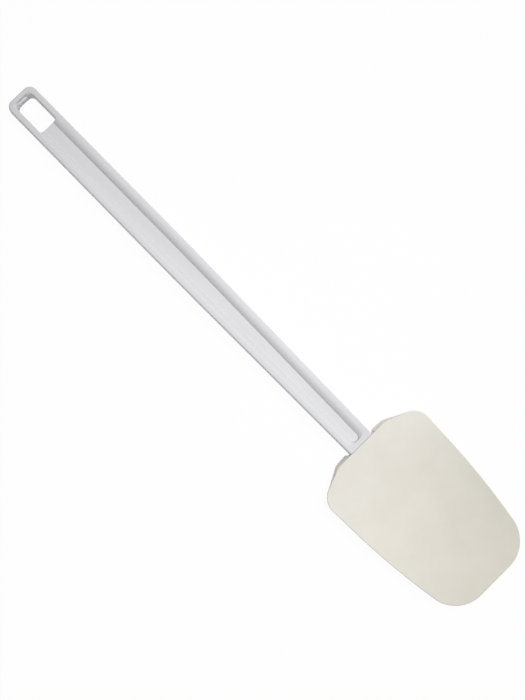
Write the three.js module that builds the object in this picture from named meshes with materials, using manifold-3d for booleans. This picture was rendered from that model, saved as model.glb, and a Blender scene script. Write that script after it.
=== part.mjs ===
// A spoon spatula lying on its back: an I-beam plastic handle with a hang loop, and a dished
// rubber blade that is keyed onto a tang which the handle hides inside it.
// Millimetres. X runs from the hang loop to the blade's tip, Y across, Z up out of the dish.
// The origin is under the middle of the whole spatula, on the plane that it lies on.

import * as THREE from 'three';
import Module from 'manifold-3d';

// Overall sizes
const handleLength = 256.3;
const bladeLength = 99;
const depth = 9;
const fitGap = 0.3;

// Handle outline: a loop end, sides that swell to a belly and taper to the neck, and walls that
// draw in from the parting line halfway up to both faces
const hangWidth = 18;
const bellyWidth = 18.4;
const bellyFromHang = 124;
const neckWidth = 15.8;
const bellySweepRadius = 6000;
const hangCornerRadius = 4.2;
const neckCornerRadius = 0.6;
const handleEdgeRadius = 0.6;
const sideDraft = 0.35;

// Handle recess, the same on both faces: flanges that fall over a bead, ever steeper, to a crease
// at the flat web, with steep walls at the hang bar and the neck block
const recessDepth = 2.1;
const flangeWidth = 5.9;
const flangeFlat = 1.2;
const hangBarWidth = 3.1;
const hangBarFlat = 1.65;
const neckBlockLength = 3;
const neckBlockFlat = 2.3;
const beadTurn = 55;
const hangRecessRadius = 1.4;
const neckRecessRadius = 2.4;

// Hang hole through the web and into the flanges
const holeFromEnd = 4.2;
const holeLength = 18.9;
const holeWidth = 11.1;
const holeLoopRadius = 2;
const holeWebRadius = 0.8;

// Tang, a tapered tongue with windows that the rubber fills
const tangLength = 28;
const tangRootWidth = 12;
const tangTipWidth = 9.4;
const tangTipRadius = 3.5;
const tangEdgeRadius = 0.5;
const tangEmbed = 1.5;
const skinUnderTang = 1.8;
const skinOverTangRoot = 2.1;
const skinOverTangTip = 1.5;
const windowLength = 6.5;
const windowWidth = 4.8;
const windowPitch = 10.5;
const firstWindowFromNeck = 8.2;

// Blade outline: a straight seam edge, sloping shoulders, bulged sides and a broad round-cornered tip
const seamEdgeWidth = 33.4;
const seamEdgeRadius = 8;
const shoulderWidth = 70.4;
const shoulderDrop = 7.2;
const shoulderRadius = 10;
const sideBulge = 2.65;
const sideRadius = 480;
const tipWidth = 53.5;
const tipCornerRadius = 18.8;

// Blade section: a rim that falls towards the tip, a dish in front and a belly behind
const rimFall = 1.6;
const rimThickness = 1.3;
const rimRadius = 0.6;
const dishDepth = 4.4;
const dishFromSeam = 62;
const floorThickness = 2.8;

// Tang housing: a flat-backed tongue, half an ellipse in plan, whose flanks run out into the belly
const housingWidth = 32.6;
const housingSpread = 56;
const housingLength = 44;
const housingEdgeRound = 1.5;
const housingBlend = 3;

// Shoulder wall: it leans out towards the back, clear of a seat that the neck stands in
const neckSeatGap = 0.5;
const neckSeatRamp = 1;
const neckFlare = 1.25;
const shoulderFlare = 0.95;

// Facets: steps round a corner, a bead and an edge, and runs along each straight of an outline
const cornerSteps = 9;
const beadSteps = 6;
const edgeSteps = 3;
const handleRuns = [1, 5, 5, 1];
const slotRuns = [1, 1, 1];
const bladeRuns = [11, 3, 4, 3, 3];
const filletRoom = 0.98;
const dishRings = [0.08, 0.2, 0.32, 0.44, 0.56, 0.67, 0.77, 0.86, 0.94, 1];
const cutMargin = 2;

// Places that follow from the sizes
const overallLength = handleLength + fitGap + bladeLength;
const neckX = handleLength - overallLength / 2;
const seamX = neckX + fitGap;

const wasm = await Module();
wasm.setup();

// Point where the line through a along u crosses the line through b along v
function crossing(a, u, b, v) {
  const t = b.clone().sub(a).cross(v) / u.cross(v);
  return a.clone().addScaledVector(u, t);
}

// Corners of a half outline after each of its edges has moved outwards by its own offset.
// The half outline starts and ends on the X axis and is walked with the inside on its right.
function moveEdges(corners, offsets) {
  const axis = new THREE.Vector2(1, 0);
  const points = corners.map(([x, y]) => new THREE.Vector2(x, y));
  const edges = offsets.map((offset, i) => {
    const along = points[i + 1].clone().sub(points[i]).normalize();
    const outwards = new THREE.Vector2(-along.y, along.x);
    return { along, start: points[i].clone().addScaledVector(outwards, offset) };
  });
  const ends = { along: axis, start: new THREE.Vector2(0, 0) };
  return points.map((point, i) => {
    const before = edges[i - 1] ?? ends;
    const after = edges[i] ?? ends;
    return crossing(before.start, before.along, after.start, after.along);
  });
}

// Points of a straight run, without its last one
function straightRun(from, to, count) {
  return Array.from({ length: count }, (_, i) => from.clone().lerp(to, i / count));
}

// Start, end and centre of the fillet in a corner. It takes at most half of each edge, and an
// edge that ends on the axis is only half of the real one.
function filletAt(points, i, radius) {
  const toBefore = points[i - 1].clone().sub(points[i]);
  const toAfter = points[i + 1].clone().sub(points[i]);
  const roomBefore = filletRoom * toBefore.length() * (i === 1 ? 1 : 0.5);
  const roomAfter = filletRoom * toAfter.length() * (i === points.length - 2 ? 1 : 0.5);
  toBefore.normalize();
  toAfter.normalize();
  const halfAngle = Math.acos(THREE.MathUtils.clamp(toBefore.dot(toAfter), -1, 1)) / 2;
  const reach = Math.min(radius / Math.tan(halfAngle), roomBefore, roomAfter);
  const start = points[i].clone().addScaledVector(toBefore, reach);
  const end = points[i].clone().addScaledVector(toAfter, reach);
  const inwards = toBefore.add(toAfter).normalize();
  const centre = points[i].clone().addScaledVector(inwards, reach / Math.cos(halfAngle));
  return { start, end, centre, turn: Math.PI - 2 * halfAngle };
}

// Closed outline, mirrored about the X axis, from the corners [x, y, radius] of its half
function outline(corners, offsets, runs) {
  const points = moveEdges(corners, offsets);
  const half = [];
  let from = points[0];
  for (let i = 1; i < points.length - 1; i++) {
    const { start, end, centre, turn } = filletAt(points, i, corners[i][2]);
    half.push(...straightRun(from, start, runs[i - 1]));
    for (let k = 0; k < cornerSteps; k++) {
      const spoke = start.clone().sub(centre);
      half.push(spoke.rotateAround(new THREE.Vector2(), -turn * k / cornerSteps).add(centre));
    }
    from = end;
  }
  half.push(...straightRun(from, points.at(-1), runs.at(-1)), points.at(-1));
  const mirrored = half.slice(1, -1).reverse().map((p) => new THREE.Vector2(p.x, -p.y));
  return [...half, ...mirrored];
}

// Solid between stacked rings of equal counts, closed by a fan round the middle of each end ring
function loft(rings) {
  const count = rings[0].length;
  const centres = [rings[0], rings.at(-1)].map((ring) => {
    const sum = ring.reduce((total, p) => total.add(p), new THREE.Vector3());
    return sum.divideScalar(count);
  });
  const positions = [...rings.flat(), ...centres].flatMap((p) => [p.x, p.y, p.z]);
  const index = [];
  const last = (rings.length - 1) * count;
  const firstCentre = last + count;
  for (let i = 0; i < count; i++) {
    const next = (i + 1) % count;
    index.push(firstCentre, i, next);
    index.push(firstCentre + 1, last + next, last + i);
    for (let row = 0; row < last; row += count) {
      index.push(row + i, row + count + i, row + next);
      index.push(row + next, row + count + i, row + count + next);
    }
  }
  return solidFrom(positions, index);
}

function solidFrom(positions, index) {
  const vertProperties = new Float32Array(positions);
  const triVerts = new Uint32Array(index);
  const mesh = new wasm.Mesh({ numProp: 3, vertProperties, triVerts });
  mesh.merge();
  return new wasm.Manifold(mesh);
}

function geometryFrom(solid) {
  const mesh = solid.getMesh();
  const geometry = new THREE.BufferGeometry();
  geometry.setAttribute('position', new THREE.BufferAttribute(mesh.vertProperties, mesh.numProp));
  geometry.setIndex(new THREE.BufferAttribute(mesh.triVerts, 1));
  geometry.computeVertexNormals();
  return geometry;
}

const ringAt = (points, z) => points.map((p) => new THREE.Vector3(p.x, p.y, z));

// Straight-walled solid through everything, for holes
function column(points, bottom, top) {
  return loft([ringAt(points, bottom), ringAt(points, top)]);
}

// Corners of the handle's outline, from the hang end at -handleLength to the neck face at 0
function handleCorners() {
  const bellyX = bellyFromHang - handleLength;
  return [
    [-handleLength, 0, 0],
    [-handleLength, hangWidth / 2, hangCornerRadius],
    [bellyX, bellyWidth / 2, bellySweepRadius],
    [0, neckWidth / 2, neckCornerRadius],
    [0, 0, 0],
  ];
}

// Corners of the crease where the flanges meet the web
function creaseCorners() {
  const bellyX = bellyFromHang - handleLength;
  const inFromHang = -handleLength + hangBarWidth;
  return [
    [inFromHang, 0, 0],
    [inFromHang, hangWidth / 2 - flangeWidth, hangRecessRadius],
    [bellyX, bellyWidth / 2 - flangeWidth, bellySweepRadius],
    [-neckBlockLength, neckWidth / 2 - flangeWidth, neckRecessRadius],
    [-neckBlockLength, 0, 0],
  ];
}

// Rings of one face of the handle, from the crease over the bead and the flat to the outer edge,
// with their depths below that face
function faceRings() {
  const rings = [];
  const crease = creaseCorners();
  const hangBead = hangBarWidth - hangBarFlat - handleEdgeRadius - sideDraft;
  const sideBead = flangeWidth - flangeFlat - handleEdgeRadius - sideDraft;
  const neckBead = neckBlockLength - neckBlockFlat;
  const turn = THREE.MathUtils.degToRad(beadTurn);
  for (let i = 0; i <= beadSteps; i++) {
    const slope = turn * (1 - i / beadSteps);
    const out = 1 - Math.sin(slope) / Math.sin(turn);
    const below = recessDepth * (1 - Math.cos(slope)) / (1 - Math.cos(turn));
    const grown = crease.map(([x, y, radius]) => [x, y, radius + neckBead * out]);
    const offsets = [hangBead, sideBead, sideBead, neckBead].map((bead) => bead * out);
    rings.push({ points: outline(grown, offsets, handleRuns), below });
  }
  for (let i = 0; i <= edgeSteps; i++) {
    const angle = Math.PI / 2 * i / edgeSteps;
    const inset = sideDraft + handleEdgeRadius * (1 - Math.sin(angle));
    const points = outline(handleCorners(), [-inset, -inset, -inset, 0], handleRuns);
    rings.push({ points, below: handleEdgeRadius * (1 - Math.cos(angle)) });
  }
  return rings;
}

function handleBar() {
  const face = faceRings();
  const back = face.map(({ points, below }) => ringAt(points, below));
  const front = face.map(({ points, below }) => ringAt(points, depth - below)).reverse();
  const parting = ringAt(outline(handleCorners(), [0, 0, 0, 0], handleRuns), depth / 2);
  return loft([...back, parting, ...front]);
}

function hangHole() {
  const start = -handleLength + holeFromEnd;
  const end = start + holeLength;
  const points = outline([
    [start, 0, 0],
    [start, holeWidth / 2, holeLoopRadius],
    [end, holeWidth / 2, holeWebRadius],
    [end, 0, 0],
  ], [0, 0, 0], slotRuns);
  return column(points, -cutMargin, depth + cutMargin);
}

// Height of the blade's front rim at a distance from the seam
const rimHeight = (x) => depth - rimFall * x / bladeLength;

// Share of the dish's full depth along its middle line
function dishAlong(x) {
  const reach = x < dishFromSeam ? dishFromSeam - rimRadius : bladeLength - rimRadius - dishFromSeam;
  return Math.max(0, 1 - ((x - dishFromSeam) / reach) ** 2);
}

// Top of the tang at a distance from the neck face, kept under the dish by the skins of rubber
function tangTop(x) {
  const root = depth - skinOverTangRoot;
  const tip = rimHeight(tangLength) - dishDepth * dishAlong(tangLength) - skinOverTangTip;
  return root + (tip - root) * x / tangLength;
}

// The tang, or with a clearance the socket that it fits
function tongue(start, clearance) {
  const corners = [
    [start, 0, 0],
    [start, tangRootWidth / 2, tangEdgeRadius],
    [tangLength, tangTipWidth / 2, tangTipRadius],
    [tangLength, 0, 0],
  ];
  const ring = (inset, height) => {
    const offset = clearance - inset;
    const points = outline(corners, [0, offset, offset], slotRuns);
    return points.map((p) => new THREE.Vector3(p.x, p.y, height(p.x)));
  };
  const bottom = skinUnderTang - clearance;
  return loft([
    ring(tangEdgeRadius, () => bottom),
    ring(0, () => bottom + tangEdgeRadius),
    ring(0, (x) => tangTop(x) + clearance - tangEdgeRadius),
    ring(tangEdgeRadius, (x) => tangTop(x) + clearance),
  ]);
}

// Through-windows in the tang, or with a clearance the rubber plugs that fill them
function windowColumns(clearance) {
  const columns = [0, 1].map((k) => {
    const middle = firstWindowFromNeck + k * windowPitch;
    const reach = windowLength / 2 - clearance;
    const half = windowWidth / 2 - clearance;
    const points = outline([
      [middle - reach, 0, 0],
      [middle - reach, half, half],
      [middle + reach, half, half],
      [middle + reach, 0, 0],
    ], [0, 0, 0], slotRuns);
    return column(points, -cutMargin, depth + cutMargin);
  });
  return columns[0].add(columns[1]);
}

function handleSolid() {
  const tang = tongue(-tangEmbed, 0).subtract(windowColumns(0));
  return handleBar().subtract(hangHole()).add(tang);
}

// Outline of the blade from the seam face at 0 to the tip, moved inwards by an inset
function bladeOutline(inset) {
  const shoulder = new THREE.Vector2(shoulderDrop, shoulderWidth / 2);
  const tip = new THREE.Vector2(bladeLength, tipWidth / 2);
  const along = tip.clone().sub(shoulder).normalize();
  const side = shoulder.clone().lerp(tip, 0.5);
  side.add(new THREE.Vector2(-along.y, along.x).multiplyScalar(sideBulge));
  return outline([
    [0, 0, 0],
    [0, seamEdgeWidth / 2, seamEdgeRadius - inset],
    [shoulder.x, shoulder.y, shoulderRadius - inset],
    [side.x, side.y, sideRadius - inset],
    [tip.x, tip.y, tipCornerRadius - inset],
    [bladeLength, 0, 0],
  ], bladeRuns.map(() => -inset), bladeRuns);
}

// Half-width of an outline at a distance from the seam
function halfWidthAt(points, x) {
  const half = points.length / 2;
  const i = points.findIndex((p, k) => k > 0 && (p.x >= x || k === half));
  const [from, to] = [points[i - 1], points[i]];
  const share = to.x > from.x ? THREE.MathUtils.clamp((x - from.x) / (to.x - from.x), 0, 1) : 1;
  return from.y + (to.y - from.y) * share;
}

// Share of the dish's full depth at a point of the face inside the given outline
function dishShare(face, p) {
  const across = 1 - (p.y / Math.max(halfWidthAt(face, p.x), rimRadius)) ** 2;
  return dishAlong(p.x) * Math.max(0, across);
}

// Smaller of two heights, with a fillet where they cross
function blendedLower(a, b, blend) {
  const closeness = Math.max(0, blend - Math.abs(a - b)) / blend;
  return Math.min(a, b) - closeness ** 2 * blend / 4;
}

// Zero up to an edge and rising one for one past it, with the edge rounded over
function roundedRamp(distance, round) {
  if (distance > round) return distance;
  return Math.max(0, distance + round) ** 2 / (4 * round);
}

// Underside of the tang housing
function housingHeight(p) {
  const half = housingWidth / 2;
  const flank = (depth - rimThickness) / (housingSpread / 2 - half);
  const outside = half * (Math.hypot(p.x / housingLength, p.y / half) - 1);
  return flank * roundedRamp(outside, housingEdgeRound);
}

// Heights of the blade's front and back at a point, given the outline of its face. Nothing
// reaches below the plane that the spatula lies on.
function bladeHeights(face, p) {
  const share = dishShare(face, p);
  const front = rimHeight(p.x) - dishDepth * share;
  const thickness = rimThickness + (floorThickness - rimThickness) * share;
  const lower = blendedLower(front - thickness, housingHeight(p), housingBlend);
  return { front, back: Math.max(0, lower) };
}

// How far the shoulder wall leans out at a point of the edge: not at all where the neck is
// seated, most right beside it, and less towards the housing's corner
function flareAt(p, wall) {
  const { clamp, lerp } = THREE.MathUtils;
  const seatEdge = neckWidth / 2 + neckSeatGap;
  const pastSeat = Math.abs(p.y) - seatEdge;
  const ramp = clamp(pastSeat / neckSeatRamp, 0, 1);
  const towardsCorner = clamp(pastSeat / (housingWidth / 2 - seatEdge), 0, 1);
  const wallShare = (wall - rimThickness) / (depth - rimThickness);
  return lerp(neckFlare, shoulderFlare, towardsCorner) * ramp * wallShare;
}

// One place on the blade's edge: the corners of its face, its wall and its back, in plan and in height
function edgeStation(face, edge, i) {
  const { front, back } = bladeHeights(face, face[i]);
  const outwards = edge[i].clone().sub(face[i]);
  const flare = outwards.clone().setLength(flareAt(edge[i], front - back));
  const backInner = face[i].clone().add(flare);
  const backOuter = edge[i].clone().add(flare);
  return {
    front: { inner: face[i], outer: edge[i], face: front, wall: front - rimRadius },
    back: { inner: backInner, outer: backOuter, face: back, wall: back + rimRadius },
  };
}

// Point on a rounded edge, from 0 on the face to 1 on the wall
function lip({ inner, outer, face, wall }, share) {
  const angle = Math.PI / 2 * share;
  const plan = inner.clone().lerp(outer, Math.sin(angle));
  return new THREE.Vector3(plan.x, plan.y, face + (wall - face) * (1 - Math.cos(angle)));
}

function bladeBody() {
  const face = bladeOutline(rimRadius);
  const edge = bladeOutline(0);
  const stations = edge.map((_, i) => edgeStation(face, edge, i));
  const middle = new THREE.Vector2(dishFromSeam, 0);
  const faceRings = (side) => dishRings.map((share) => stations.map((station) => {
    const { inner, face: rim } = station[side];
    const plan = middle.clone().lerp(inner, share);
    const height = share < 1 ? bladeHeights(face, plan)[side] : rim;
    return new THREE.Vector3(plan.x, plan.y, height);
  }));
  const lipRings = (side) => Array.from({ length: edgeSteps }, (_, i) => (
    stations.map((station) => lip(station[side], (i + 1) / edgeSteps))
  ));
  const back = [...faceRings('back'), ...lipRings('back')];
  const front = [...faceRings('front'), ...lipRings('front')];
  return loft([...back, ...front.reverse()]);
}

// The socket lies in the blade as the tang does in the handle, one seam gap further back
function bladeSolid() {
  const socket = tongue(-cutMargin, fitGap).subtract(windowColumns(fitGap));
  return bladeBody().subtract(socket.translate([-fitGap, 0, 0]));
}

function piece(name, solid, x, material) {
  const mesh = new THREE.Mesh(geometryFrom(solid), new THREE.MeshStandardMaterial(material));
  mesh.name = name;
  mesh.position.x = x;
  return mesh;
}

const spatula = new THREE.Group();
spatula.add(piece('handle', handleSolid(), neckX, { color: 0xeef0f2, roughness: 0.35, metalness: 0 }));
spatula.add(piece('blade', bladeSolid(), seamX, { color: 0xe6e2d6, roughness: 0.75, metalness: 0 }));

export default spatula;
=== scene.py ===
# A spoon spatula lying on a pale table, seen from above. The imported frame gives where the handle
# and the blade are. Both are made again here as finer meshes with softened edges, on the same
# sections as the solids, and get their plastic and rubber finishes.

import math

import bmesh
import bpy
import numpy as np
from mathutils import Matrix, Vector
from mathutils.bvhtree import BVHTree


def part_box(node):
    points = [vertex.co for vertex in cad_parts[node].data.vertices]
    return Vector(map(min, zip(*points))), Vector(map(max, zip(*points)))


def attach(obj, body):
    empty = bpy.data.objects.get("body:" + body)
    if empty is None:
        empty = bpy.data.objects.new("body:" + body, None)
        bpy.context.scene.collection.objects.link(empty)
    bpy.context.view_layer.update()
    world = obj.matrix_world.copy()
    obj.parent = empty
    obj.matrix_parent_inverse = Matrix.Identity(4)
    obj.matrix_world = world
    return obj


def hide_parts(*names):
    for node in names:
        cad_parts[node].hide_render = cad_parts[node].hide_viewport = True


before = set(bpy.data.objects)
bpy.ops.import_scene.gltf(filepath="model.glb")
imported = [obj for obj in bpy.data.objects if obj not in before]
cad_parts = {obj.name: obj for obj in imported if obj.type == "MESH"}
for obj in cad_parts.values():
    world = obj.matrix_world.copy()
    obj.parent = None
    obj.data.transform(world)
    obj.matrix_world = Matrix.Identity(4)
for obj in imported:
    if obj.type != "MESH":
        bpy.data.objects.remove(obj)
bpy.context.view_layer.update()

# Sizes in millimetres and angles in degrees, as in the solids apart from the softened edges
MM = 0.001
hang_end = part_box("handle")[0].x / MM
tip_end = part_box("blade")[1].x / MM
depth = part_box("handle")[1].z / MM
handle_length = 256.3
blade_length = 99
fit_gap = 0.3
seam_line = 0.12

# Handle outline
hang_width = 18
belly_width = 18.4
belly_from_hang = 124
neck_width = 15.8
belly_sweep_radius = 6000
hang_corner_radius = 4.2
neck_corner_radius = 0.6
handle_edge_radius = 0.9
side_draft = 0.12
parting_line = 0.04
parting_half_height = 0.15

# Handle recess
recess_depth = 2.1
flange_width = 5.9
flange_flat = 1.13
hang_bar_width = 3.1
hang_bar_flat = 1.58
neck_block_length = 3
neck_block_flat = 2.3
bead_turn = 55
crease_fillet = 0.12
hang_recess_radius = 1.4
neck_recess_radius = 2.4

# Hang hole
hole_from_end = 4.2
hole_length = 18.9
hole_width = 11.1
hole_loop_radius = 2
hole_web_radius = 0.8
hole_edge_radius = 0.6
hole_edge_turn = 60
hole_edge_clear = 0.15

# Tang and its windows
tang_length = 28
tang_root_width = 12
tang_tip_width = 9.4
tang_tip_radius = 3.5
tang_edge_radius = 0.5
tang_embed = 1.5
skin_under_tang = 1.8
skin_over_tang_root = 2.1
skin_over_tang_tip = 1.5
window_count = 2
window_length = 6.5
window_width = 4.8
window_pitch = 10.5
first_window_from_neck = 8.2

# Blade outline
seam_edge_width = 33.4
seam_edge_radius = 8
shoulder_width = 70.4
shoulder_drop = 7.2
shoulder_radius = 10
side_bulge = 2.65
side_radius = 480
tip_width = 53.5
tip_corner_radius = 18.8

# Blade section
rim_fall = 1.6
rim_thickness = 1.3
rim_radius = 0.4
dish_depth = 4.4
dish_from_seam = 62
floor_thickness = 2.8

# Tang housing on the blade's back
housing_width = 32.6
housing_spread = 56
housing_length = 44
housing_edge_round = 1.5
housing_blend = 3

# Shoulder walls and the seat of the neck between them
neck_seat_gap = 0.5
neck_seat_ramp = 1.6
neck_flare = 1.25
shoulder_flare = 0.95

# Fineness of the meshes: steps on the straight runs of the half outlines and on round stretches
handle_runs = [3, 50, 50, 3]
hole_runs = [16, 30, 10]
slot_runs = [4, 6, 4]
blade_runs = [76, 8, 26, 26, 14]
corner_steps = 14
edge_steps = 6
bead_steps = 12
crease_rings = 7
crease_reach = 1.5
dish_rings = 36
dish_first_ring = 0.02
fillet_room = 0.98
same_place = 1e-6
cut_margin = 2
sharp_angle = 40

# Places along X, where the handle is drawn from its neck and the blade from its seam
neck_x = hang_end + handle_length
seam_x = tip_end - blade_length
belly_x = belly_from_hang - handle_length

# Widths of the beads, and how far the neck reaches into the seam
side_bead = flange_width - flange_flat - handle_edge_radius - side_draft
hang_bead = hang_bar_width - hang_bar_flat - handle_edge_radius - side_draft
neck_bead = neck_block_length - neck_block_flat
neck_reach = fit_gap - seam_line


# Outlines and meshes

def crossing(a, u, b, v):
    """Point where the line through a along u crosses the line through b along v."""
    d = b - a
    return a + u * ((d[0] * v[1] - d[1] * v[0]) / (u[0] * v[1] - u[1] * v[0]))


def move_edges(corners, offsets):
    """Corners of a half outline after each of its edges has moved outwards by its offset."""
    points = [np.array(c[:2], float) for c in corners]
    axis = (np.array([1.0, 0.0]), np.zeros(2))
    edges = []
    for a, b, offset in zip(points, points[1:], offsets):
        along = (b - a) / np.linalg.norm(b - a)
        edges.append((along, a + np.array([-along[1], along[0]]) * offset))
    befores = [axis] + edges
    afters = edges + [axis]
    return [crossing(p0, u, p1, v) for (u, p0), (v, p1) in zip(befores, afters)]


def fillet_at(points, i, radius):
    """Start, end, centre and turn of the fillet in a corner, at most half of a shared edge long."""
    to_before = points[i - 1] - points[i]
    to_after = points[i + 1] - points[i]
    lengths = np.linalg.norm(to_before), np.linalg.norm(to_after)
    room_before = fillet_room * lengths[0] / (1 if i == 1 else 2)
    room_after = fillet_room * lengths[1] / (1 if i == len(points) - 2 else 2)
    to_before = to_before / lengths[0]
    to_after = to_after / lengths[1]
    half_angle = math.acos(max(-1, min(1, to_before @ to_after))) / 2
    reach = min(radius / math.tan(half_angle), room_before, room_after)
    inwards = to_before + to_after
    inwards = inwards / np.linalg.norm(inwards)
    start = points[i] + to_before * reach
    end = points[i] + to_after * reach
    centre = points[i] + inwards * (reach / math.cos(half_angle))
    return start, end, centre, math.pi - 2 * half_angle


def outline(corners, offsets, runs):
    """Closed outline, mirrored about the X axis, from the corners (x, y, radius) of its half."""
    points = move_edges(corners, offsets)
    half = []
    begin = points[0]
    for i in range(1, len(points) - 1):
        start, end, centre, turn = fillet_at(points, i, corners[i][2])
        half += [begin + (start - begin) * k / runs[i - 1] for k in range(runs[i - 1])]
        for k in range(corner_steps):
            angle = -turn * k / corner_steps
            c, s = math.cos(angle), math.sin(angle)
            x, y = start - centre
            half.append(centre + np.array([c * x - s * y, s * x + c * y]))
        begin = end
    half += [begin + (points[-1] - begin) * k / runs[-1] for k in range(runs[-1] + 1)]
    half = np.array(half)
    mirrored = half[-2:0:-1] * [1, -1]
    return np.vstack([half, mirrored])


def ring_at(points, z):
    """Ring of an outline's points at a height, or at a height for each point."""
    return np.column_stack([points, np.broadcast_to(z, len(points))])


def filleted_most(a, b, fillet):
    """Greater of two heights, with a fillet where they cross."""
    closeness = np.maximum(0, fillet - np.abs(a - b)) / fillet
    return np.maximum(a, b) + closeness ** 2 * fillet / 4


def filleted_least(a, b, fillet):
    """Lesser of two heights, with a fillet where they cross."""
    return -filleted_most(-a, -b, fillet)


def mirror_cap(ring, first):
    """Faces across a ring: strips from side to side, and fans at its two straight ends."""
    count = len(ring)
    half = count // 2
    start, end = 1, half - 1
    while abs(ring[start][0] - ring[0][0]) < same_place:
        start += 1
    while abs(ring[end][0] - ring[half][0]) < same_place:
        end -= 1
    faces = [[0, start, count - start], [half, end, count - end]]
    faces += [[i, i + 1, count - i - 1, count - i] for i in range(start, end)]
    fans = [(i, start) for i in range(start - 1)] + [(i, end) for i in range(end + 1, half)]
    for i, middle in fans:
        faces += [[i, i + 1, middle], [(count - i) % count, count - i - 1, count - middle]]
    return [[first + i for i in face] for face in faces]


def face_outwards(piece):
    """Turns all faces of a closed piece outwards."""
    shape = bmesh.new()
    shape.from_mesh(piece.data)
    bmesh.ops.recalc_face_normals(shape, faces=shape.faces)
    shape.to_mesh(piece.data)
    shape.free()


def loft(name, rings, x):
    """Object made of stacked rings of equal counts, capped at both ends, at a place along X."""
    count = len(rings[0])
    last_row = count * (len(rings) - 1)
    faces = mirror_cap(rings[0], 0) + mirror_cap(rings[-1], last_row)
    for row in range(0, last_row, count):
        for i in range(count):
            j = (i + 1) % count
            faces.append((row + i, row + count + i, row + count + j, row + j))
    vertices = (np.vstack(rings) + [x, 0, 0]) * MM
    mesh = bpy.data.meshes.new(name)
    mesh.from_pydata(vertices.tolist(), [], faces)
    mesh.validate()
    piece = bpy.data.objects.new(name, mesh)
    bpy.context.scene.collection.objects.link(piece)
    face_outwards(piece)
    return piece


def combine(piece, tool, operation):
    """Joins a tool to a piece or cuts it out, and drops the tool."""
    change = piece.modifiers.new("combine", "BOOLEAN")
    change.object = tool
    change.operation = operation
    change.solver = "EXACT"
    graph = bpy.context.evaluated_depsgraph_get()
    result = bpy.data.meshes.new_from_object(piece.evaluated_get(graph))
    piece.modifiers.clear()
    spent = piece.data
    piece.data = result
    bpy.data.meshes.remove(spent)
    bpy.data.meshes.remove(tool.data)


def smooth(piece):
    """Shades a piece smooth, with sharp edges kept."""
    piece.data.shade_smooth()
    piece.data.set_sharp_from_angle(angle=math.radians(sharp_angle))
    even = piece.modifiers.new("even_normals", "WEIGHTED_NORMAL")
    even.keep_sharp = True


# Handle

def handle_corners():
    """Corners of the handle's outer edge."""
    return [
        (-handle_length, 0, 0),
        (-handle_length, hang_width / 2, hang_corner_radius),
        (belly_x, belly_width / 2, belly_sweep_radius),
        (0, neck_width / 2, neck_corner_radius),
        (0, 0, 0),
    ]


def crease_corners(grown):
    """Corners of the crease between flanges and web, with the recess corners grown in radius."""
    in_from_hang = hang_bar_width - handle_length
    return [
        (in_from_hang, 0, 0),
        (in_from_hang, hang_width / 2 - flange_width, hang_recess_radius + grown),
        (belly_x, belly_width / 2 - flange_width, belly_sweep_radius),
        (-neck_block_length, neck_width / 2 - flange_width, neck_recess_radius + grown),
        (-neck_block_length, 0, 0),
    ]


def bead_rise(across):
    """Height above the web at a distance from the crease, over a bead that flattens outwards."""
    turn = math.radians(bead_turn)
    steepness = np.clip(1 - across / side_bead, 0, 1) * math.sin(turn)
    over = (np.sqrt(1 - steepness ** 2) - math.cos(turn)) / (1 - math.cos(turn)) * recess_depth
    before = np.minimum(across, 0) * math.tan(turn) * recess_depth / side_bead
    return filleted_most(np.where(across < 0, before, over), 0, crease_fillet)


def face_rings():
    """Outlines of one face of the handle from its crease to its outer edge, with their depths."""
    rings = []
    bead_widths = np.array([hang_bead, side_bead, side_bead, neck_bead])
    # Rings close together round the crease's fillet, then even steps over the bead
    near = crease_fillet * np.linspace(-crease_reach, crease_reach, crease_rings)
    outer = np.linspace(near[-1], side_bead, bead_steps + 1)[1:]
    for across in [*near, *outer]:
        out = across / side_bead
        points = outline(crease_corners(max(0, neck_bead * out)), bead_widths * out, handle_runs)
        rings.append((points, recess_depth - bead_rise(across)))
    for angle in np.linspace(0, math.pi / 2, edge_steps + 1):
        inset = side_draft + handle_edge_radius * (1 - math.sin(angle))
        points = outline(handle_corners(), [-inset, -inset, -inset, neck_reach], handle_runs)
        rings.append((points, handle_edge_radius * (1 - math.cos(angle))))
    return rings


def side_rings():
    """Rings round the middle of the side walls, with the fine parting line of the mould."""
    rings = []
    for step, proud in [(-1, 0), (0, parting_line), (1, 0)]:
        points = outline(handle_corners(), [proud, proud, proud, neck_reach], handle_runs)
        rings.append(ring_at(points, depth / 2 + step * parting_half_height))
    return rings


def front_heights(piece, points):
    """Heights of a piece's front over points of its plan."""
    places = [vertex.co for vertex in piece.data.vertices]
    tree = BVHTree.FromPolygons(places, [tuple(face.vertices) for face in piece.data.polygons])
    above = depth + cut_margin
    down = Vector((0, 0, -1))
    hits = [tree.ray_cast(Vector((x, y, above)) * MM, down)[0] for x, y in points]
    return np.array([hit.z for hit in hits]) / MM


def hang_hole(bar):
    """Cutter for the hang hole, flared at both faces so that it leaves a rounded edge."""
    start = hole_from_end - handle_length
    end = start + hole_length
    turns = np.radians(np.linspace(0, hole_edge_turn, edge_steps))
    outs = list(hole_edge_radius * (1 - np.cos(turns)))
    lifts = list(hole_edge_radius * (np.sin(turns) - 1))
    outs.append(outs[-1] + (hole_edge_clear - lifts[-1]) * math.tan(turns[-1]))
    lifts.append(hole_edge_clear)
    fronts, backs = [], []
    for out, lift in zip(outs, lifts):
        points = outline([
            (start, 0, 0),
            (start, hole_width / 2, hole_loop_radius + out),
            (end, hole_width / 2, hole_web_radius + out),
            (end, 0, 0),
        ], [out, out, out], hole_runs)
        height = front_heights(bar, points + [neck_x, 0]) + lift
        fronts.append(ring_at(points, height))
        backs.append(ring_at(points, depth - height))
    fronts.append(ring_at(points, depth + cut_margin))
    backs.append(ring_at(points, -cut_margin))
    return loft("hang_hole_tool", backs[::-1] + fronts, neck_x)


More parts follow.
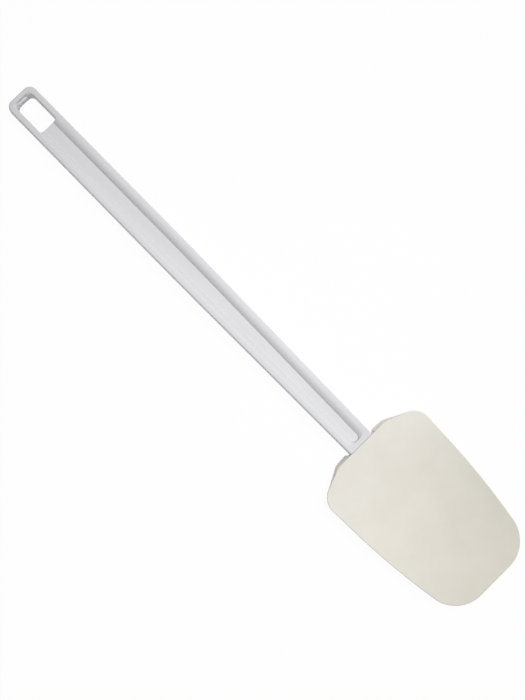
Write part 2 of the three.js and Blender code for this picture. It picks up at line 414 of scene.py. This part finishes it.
def rim_height(x):
    """Height of the blade's rim, which falls from the seam to the tip."""
    return depth - rim_fall * x / blade_length


def dish_along(x):
    """Share of the dish's full depth along its middle line."""
    before = dish_from_seam - rim_radius
    after = blade_length - rim_radius - dish_from_seam
    reach = np.where(x < dish_from_seam, before, after)
    return np.maximum(0, 1 - ((x - dish_from_seam) / reach) ** 2)


def tang_top(x):
    """Height of the tang's upper face, which follows the dish down."""
    root = depth - skin_over_tang_root
    tip = rim_height(tang_length) - dish_depth * dish_along(tang_length) - skin_over_tang_tip
    return root + (tip - root) * x / tang_length


def tongue(name, start, clearance, x):
    """The tang, or with a clearance the socket that it fits."""
    corners = [
        (start, 0, 0),
        (start, tang_root_width / 2, tang_edge_radius),
        (tang_length, tang_tip_width / 2, tang_tip_radius),
        (tang_length, 0, 0),
    ]

    def ring(inset, on_top, drop):
        offset = clearance - inset
        points = outline(corners, [0, offset, offset], slot_runs)
        low = skin_under_tang - clearance
        height = tang_top(points[:, 0]) + clearance if on_top else low
        return ring_at(points, height + drop)

    edge = tang_edge_radius
    return loft(name, [
        ring(edge, False, 0), ring(0, False, edge), ring(0, True, -edge), ring(edge, True, 0),
    ], x)


def window_column(name, k, clearance, x):
    """A through-window of the tang, or with a clearance the rubber plug that fills it."""
    middle = first_window_from_neck + k * window_pitch
    reach = window_length / 2 - clearance
    half = window_width / 2 - clearance
    points = outline([
        (middle - reach, 0, 0),
        (middle - reach, half, half),
        (middle + reach, half, half),
        (middle + reach, 0, 0),
    ], [0, 0, 0], slot_runs)
    return loft(name, [ring_at(points, -cut_margin), ring_at(points, depth + cut_margin)], x)


def make_handle():
    """The handle moulding: the bar with its recesses and hang hole, and the tang at its neck."""
    face = face_rings()
    backs = [ring_at(points, below) for points, below in face]
    fronts = [ring_at(points, depth - below) for points, below in reversed(face)]
    bar = loft("handle_moulding", backs + side_rings() + fronts, neck_x)
    combine(bar, hang_hole(bar), "DIFFERENCE")
    tang = tongue("tang_tool", -tang_embed, 0, neck_x)
    for k in range(window_count):
        combine(tang, window_column("window_tool", k, 0, neck_x), "DIFFERENCE")
    combine(bar, tang, "UNION")
    return bar


# Blade

def blade_outline(inset):
    """Outline of the blade, drawn in by an inset."""
    shoulder = np.array([shoulder_drop, shoulder_width / 2])
    tip = np.array([blade_length, tip_width / 2])
    along = (tip - shoulder) / np.linalg.norm(tip - shoulder)
    side = (shoulder + tip) / 2 + np.array([-along[1], along[0]]) * side_bulge
    return outline([
        (0, 0, 0),
        (0, seam_edge_width / 2, seam_edge_radius - inset),
        (*shoulder, shoulder_radius - inset),
        (*side, side_radius - inset),
        (*tip, tip_corner_radius - inset),
        (blade_length, 0, 0),
    ], [-inset] * len(blade_runs), blade_runs)


def half_width_at(points, x):
    """Half-width of an outline at distances from the seam."""
    half = points[:len(points) // 2 + 1]
    return np.interp(x, half[:, 0], half[:, 1])


def dish_share(face, p):
    """Share of the dish's full depth at points inside the outline of the face."""
    across = 1 - (p[:, 1] / np.maximum(half_width_at(face, p[:, 0]), rim_radius)) ** 2
    return dish_along(p[:, 0]) * np.maximum(0, across)


def housing_height(p):
    """Underside of the tang housing."""
    half = housing_width / 2
    flank = (depth - rim_thickness) / (housing_spread / 2 - half)
    outside = half * (np.hypot(p[:, 0] / housing_length, p[:, 1] / half) - 1)
    return flank * filleted_most(outside, 0, housing_edge_round)


def blade_heights(face, p):
    """Heights of the blade's back and front at points inside the outline of the face."""
    share = dish_share(face, p)
    front = rim_height(p[:, 0]) - dish_depth * share
    belly = front - rim_thickness - (floor_thickness - rim_thickness) * share
    back = filleted_least(belly, housing_height(p), housing_blend)
    return np.maximum(0, back), front


def wall_lean(edge, wall_height):
    """How far the shoulder walls lean out at the back: most beside the seat, none in it."""
    seat_edge = neck_width / 2 + neck_seat_gap
    past_seat = np.abs(edge[:, 1]) - seat_edge
    ramp = np.clip(past_seat / neck_seat_ramp, 0, 1)
    eased_ramp = ramp ** 2 * (3 - 2 * ramp)
    towards_corner = np.clip(past_seat / (housing_width / 2 - seat_edge), 0, 1)
    full_lean = neck_flare + (shoulder_flare - neck_flare) * towards_corner
    height_share = (wall_height - rim_thickness) / (depth - rim_thickness)
    return full_lean * eased_ramp * height_share


def blade_body():
    """The blade without its socket, in rings from the middle of its back out to the rim and in."""
    face = blade_outline(rim_radius)
    edge = blade_outline(0)
    back, front = blade_heights(face, face)
    outwards = (edge - face) / np.linalg.norm(edge - face, axis=1)[:, None]
    flare = outwards * wall_lean(edge, front - back)[:, None]
    middle = np.array([dish_from_seam, 0])
    shares = np.sin(np.linspace(dish_first_ring, 1, dish_rings) * math.pi / 2)
    sides = []
    for k, (inner, outer, rim, lift) in enumerate([
        (face + flare, edge + flare, back, rim_radius),
        (face, edge, front, -rim_radius),
    ]):
        plans = [middle + (inner - middle) * share for share in shares]
        rings = [ring_at(plan, blade_heights(face, plan)[k]) for plan in plans[:-1]]
        rings.append(ring_at(plans[-1], rim))
        for angle in np.linspace(0, math.pi / 2, edge_steps + 1)[1:]:
            plan = inner + (outer - inner) * math.sin(angle)
            rings.append(ring_at(plan, rim + lift * (1 - math.cos(angle))))
        sides.append(rings)
    return loft("blade_moulding", sides[0] + sides[1][::-1], seam_x)


def make_blade():
    """The blade moulding, with the socket and the plugs that hold the tang."""
    blade = blade_body()
    socket_x = seam_x - fit_gap
    socket = tongue("socket_tool", -cut_margin, fit_gap, socket_x)
    for k in range(window_count):
        combine(socket, window_column("plug_tool", k, fit_gap, socket_x), "DIFFERENCE")
    combine(blade, socket, "DIFFERENCE")
    return blade


# Materials: colours as display values of 0 to 255, noise scales per metre, lengths in metres

noise_band = 0.3, 0.7
grain_scale = 4200
white = 1, 1, 1, 1


def linear(r, g, b):
    """Linear colour from display values of 0 to 255."""
    return tuple(((v / 255 + 0.055) / 1.055) ** 2.4 for v in (r, g, b)) + (1,)


def new_material(name):
    """Material with a node tree of its own."""
    material = bpy.data.materials.new(name)
    material.use_nodes = True
    return material


class Nodes:
    """Short ways to add nodes to a tree."""

    def __init__(self, tree):
        self.tree = tree

    def fill(self, node, inputs):
        """Sets a node's inputs to values, or links them to the outputs of other nodes."""
        for key, value in inputs.items():
            if isinstance(value, bpy.types.NodeSocket):
                self.tree.links.new(value, node.inputs[key])
            else:
                node.inputs[key].default_value = value

    def add(self, kind, inputs, **settings):
        node = self.tree.nodes.new(kind)
        for key, value in settings.items():
            setattr(node, key, value)
        self.fill(node, inputs)
        return node

    def place(self):
        return self.add("ShaderNodeTexCoord", {}).outputs["Object"]

    def stretched(self, place, scale):
        return self.add("ShaderNodeMapping", {"Vector": place, "Scale": scale}).outputs["Vector"]

    def noise(self, place, scale, detail):
        inputs = {"Vector": place, "Scale": scale, "Detail": detail}
        return self.add("ShaderNodeTexNoise", inputs).outputs["Fac"]

    def tones(self, noise, low, high):
        """Colour that goes from low to high over the band that a noise mostly keeps to."""
        node = self.add("ShaderNodeValToRGB", {"Fac": noise})
        for element, position, tone in zip(node.color_ramp.elements, noise_band, [low, high]):
            element.position = position
            element.color = linear(*tone)
        return node.outputs["Color"]

    def span(self, value, source, result):
        """Value that runs through the result's range as the given one runs through its own."""
        return self.add("ShaderNodeMapRange", {
            "Value": value,
            "From Min": source[0], "From Max": source[1],
            "To Min": result[0], "To Max": result[1],
        }).outputs["Result"]

    def grain(self, place, depth_of_grain, strength, detail):
        """Fine bumps of the surface."""
        height = self.noise(place, grain_scale, detail)
        inputs = {"Height": height, "Distance": depth_of_grain, "Strength": strength}
        return self.add("ShaderNodeBump", inputs).outputs["Normal"]

    def calculate(self, operation, a, b):
        return self.add("ShaderNodeMath", {0: a, 1: b}, operation=operation).outputs["Value"]

    def rays(self):
        return self.add("ShaderNodeLightPath", {}).outputs


plastic_tones = (220, 220, 223), (226, 226, 229)
flow_marks = 14, 90, 90
plastic_gloss_scale = 160
plastic_roughness = 0.42, 0.52
plastic_grain_depth = 0.00004
plastic_grain_strength = 0.1


def plastic():
    """White plastic with faint flow marks along the handle, a varying gloss and a fine grain."""
    material = new_material("white_plastic")
    n = Nodes(material.node_tree)
    place = n.place()
    flow = n.noise(n.stretched(place, flow_marks), 1, detail=3)
    gloss = n.noise(place, plastic_gloss_scale, detail=4)
    n.fill(n.tree.nodes["Principled BSDF"], {
        "Base Color": n.tones(flow, *plastic_tones),
        "Roughness": n.span(gloss, noise_band, plastic_roughness),
        "Normal": n.grain(place, plastic_grain_depth, plastic_grain_strength, detail=2),
        "IOR": 1.49,
        "Specular IOR Level": 0.2,
    })
    return material


# Painted shade: the second pair of rubber tones is darker and yellower, and the blend to it along X
# towards the tip stands in for light falling off there
rubber_tones = (233, 229, 220), (237, 234, 226)
painted_shade_tones = (226, 222, 208), (231, 227, 215)
painted_shade_from, painted_shade_to = 0.08, 0.178
mottle_scale = 70
rubber_gloss_scale = 300
rubber_roughness = 0.56, 0.68
rubber_grain_depth = 0.00005
rubber_grain_strength = 0.15


def rubber():
    """Cream rubber with a soft mottle and a matt grain, and painted shade that darkens and yellows
    it towards the tip.
    """
    material = new_material("cream_rubber")
    n = Nodes(material.node_tree)
    place = n.place()
    mottle = n.noise(place, mottle_scale, detail=4)
    along = n.add("ShaderNodeSeparateXYZ", {"Vector": place}).outputs["X"]
    # Inputs 6 and 7 and output 2 are the mix node's sockets for colours
    # Painted shade: blends from the rubber's own tones to the darker, yellower tones towards the
    # tip
    colour = n.add("ShaderNodeMix", {
        0: n.span(along, (painted_shade_from, painted_shade_to), (0, 1)),
        6: n.tones(mottle, *rubber_tones),
        7: n.tones(mottle, *painted_shade_tones),
    }, data_type="RGBA").outputs[2]
    gloss = n.noise(place, rubber_gloss_scale, detail=3)
    n.fill(n.tree.nodes["Principled BSDF"], {
        "Base Color": colour,
        "Roughness": n.span(gloss, noise_band, rubber_roughness),
        "Normal": n.grain(place, rubber_grain_depth, rubber_grain_strength, detail=3),
        "IOR": 1.5,
        "Specular IOR Level": 0.35,
    })
    return material


white_share = 0.96
table_tone = 0.95
table_tone_seen = 0.9


def table_paint():
    """Matt floor that shows nearly white to the camera and in reflections, and keeps the shadow."""
    material = new_material("white_table")
    n = Nodes(material.node_tree)
    n.tree.nodes.remove(n.tree.nodes["Principled BSDF"])
    rays = n.rays()
    seen = n.calculate("MAXIMUM", rays["Is Camera Ray"], rays["Is Glossy Ray"])
    tone = n.span(rays["Is Camera Ray"], (0, 1), (table_tone, table_tone_seen))
    matt = n.add("ShaderNodeBsdfDiffuse", {"Color": tone}).outputs["BSDF"]
    glow = n.add("ShaderNodeEmission", {"Color": white}).outputs["Emission"]
    white_seen = n.calculate("MULTIPLY", seen, white_share)
    mix = n.add("ShaderNodeMixShader", {0: white_seen, 1: matt, 2: glow})
    n.fill(n.tree.nodes["Material Output"], {"Surface": mix.outputs["Shader"]})
    # The glow is only seen, so it isn't sampled as a lamp, which would add grain
    material.cycles.emission_sampling = "NONE"
    return material


# Pieces

handle = make_handle()
blade = make_blade()
for piece, node, slot, material in [
    (handle, "handle", "handle_plastic", plastic()),
    (blade, "blade", "blade_rubber", rubber()),
]:
    smooth(piece)
    piece.data.materials.clear()
    piece.data.materials.append(material)
    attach(piece, "root")
    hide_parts(node)
    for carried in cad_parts[node].material_slots:
        carried.material = material

# Table, in metres, just under the tool

table_half = 3
table_below = 0.00005
table_corners = [(-1, -1), (1, -1), (1, 1), (-1, 1)]
places = [(x * table_half, y * table_half, -table_below) for x, y in table_corners]
table_mesh = bpy.data.meshes.new("table")
table_mesh.from_pydata(places, [], [(0, 1, 2, 3)])
table_mesh.materials.append(table_paint())
table = bpy.data.objects.new("table", table_mesh)
bpy.context.scene.collection.objects.link(table)

# Light, in metres, watts and degrees: an even pale surround and two large soft lamps, one nearly
# overhead and one from the picture's upper right

fill_strength = 0.25
lamp_target = 0.02, 0, 0
lamp_size = 0.6
lamp_spread = 45
key_place, key_power = (0.02, 0.515, 0.857), 0.45
overhead_place, overhead_power = (0.02, 0.2, 0.98), 0.39


def surround():
    """Even light from all round, which shows white to the camera."""
    world = bpy.data.worlds.new("surround")
    world.use_nodes = True
    n = Nodes(world.node_tree)
    strength = n.span(n.rays()["Is Camera Ray"], (0, 1), (fill_strength, 1))
    n.fill(n.tree.nodes["Background"], {"Color": white, "Strength": strength})
    return world


def lamp(name, place, power):
    """Round lamp with a soft beam towards the tool."""
    light = bpy.data.lights.new(name, "AREA")
    light.shape = "DISK"
    light.size = lamp_size
    light.spread = math.radians(lamp_spread)
    light.energy = power
    holder = bpy.data.objects.new(name, light)
    holder.location = place
    towards = Vector(lamp_target) - Vector(place)
    holder.rotation_euler = towards.to_track_quat("-Z", "Y").to_euler()
    holder.visible_camera = False
    bpy.context.scene.collection.objects.link(holder)


bpy.context.scene.world = surround()
lamp("key", key_place, key_power)
lamp("overhead", overhead_place, overhead_power)

# Camera, in millimetres and degrees: almost straight above, with the blade at the lower right

camera_target = 7.56, -1.8, 0
camera_distance = 615.8
camera_spin, camera_roll, camera_pitch = 45.49, 3.2, 1.28
turn = (
    Matrix.Rotation(math.radians(camera_roll), 3, "X")
    @ Matrix.Rotation(math.radians(camera_pitch), 3, "Y")
    @ Matrix.Rotation(math.radians(camera_spin), 3, "Z")
)
camera_place = (Vector(camera_target) + turn.col[2] * camera_distance) * MM
lens = bpy.data.cameras.new("camera")
lens.sensor_width = 36
lens.lens = 60
camera = bpy.data.objects.new("camera", lens)
camera.matrix_world = Matrix.Translation(camera_place) @ turn.to_4x4()
bpy.context.scene.collection.objects.link(camera)
bpy.context.scene.camera = camera

bpy.context.scene.view_settings.view_transform = "Standard"
